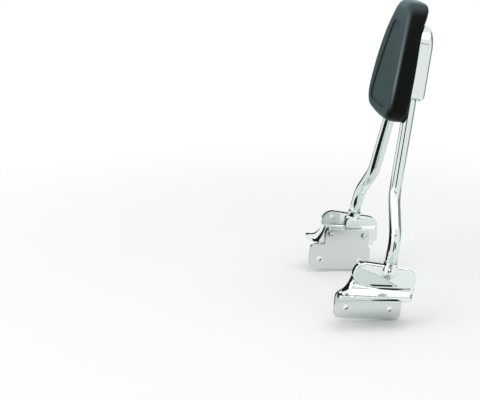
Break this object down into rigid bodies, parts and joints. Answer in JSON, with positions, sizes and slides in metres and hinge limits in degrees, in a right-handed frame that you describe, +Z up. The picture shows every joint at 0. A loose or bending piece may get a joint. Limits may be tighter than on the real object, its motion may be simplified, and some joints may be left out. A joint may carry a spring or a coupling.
{
  "type": "sissy bar",
  "caption": "Chromed bent-tube passenger backrest with a moulded pad, a rear cover pan and cast side brackets that bolt to a motorcycle's fender struts.",
  "frame": {"origin": "on the axis of the front strut bolts, midway between the mount plates", "axes": "+X to the left along the strut-bolt axis, +Y to the rear of the machine, +Z up; the bar leans back from +Z"},
  "size_m": [0.312, 0.1679, 0.4809],
  "materials": {
    "bar_chrome": "mirror chrome on steel tube",
    "cover_chrome": "mirror chrome on pressed sheet steel",
    "bracket_chrome": "mirror chrome on a casting",
    "plate_chrome": "chrome on cut steel plate",
    "bolt_chrome": "chromed fasteners",
    "zinc_steel": "bright zinc on turned steel",
    "pad_skin": "fine matte moulded skin over foam",
    "pad_board": "black moulded board"
  },
  "bodies": {
    "root": {"bar_tube": "bar_chrome", "pad_mount_plate": "bar_chrome", "backrest_pad": "pad_skin", "pad_base": "pad_board", "pad_inserts": "zinc_steel", "back_cover": "cover_chrome", "cover_spacers": "zinc_steel", "backrest_washers": "bolt_chrome", "backrest_bolts": "bolt_chrome", "left_bracket": "bracket_chrome", "left_mount_plate": "plate_chrome", "left_plate_washers": "bolt_chrome", "left_plate_screws": "bolt_chrome", "left_tube_plug": "zinc_steel", "left_leg_washer": "zinc_steel", "left_leg_bolt": "zinc_steel", "right_bracket": "bracket_chrome", "right_mount_plate": "plate_chrome", "right_plate_washers": "bolt_chrome", "right_plate_screws": "bolt_chrome", "right_tube_plug": "zinc_steel", "right_leg_washer": "zinc_steel", "right_leg_bolt": "zinc_steel"}
  },
  "joints": []
}
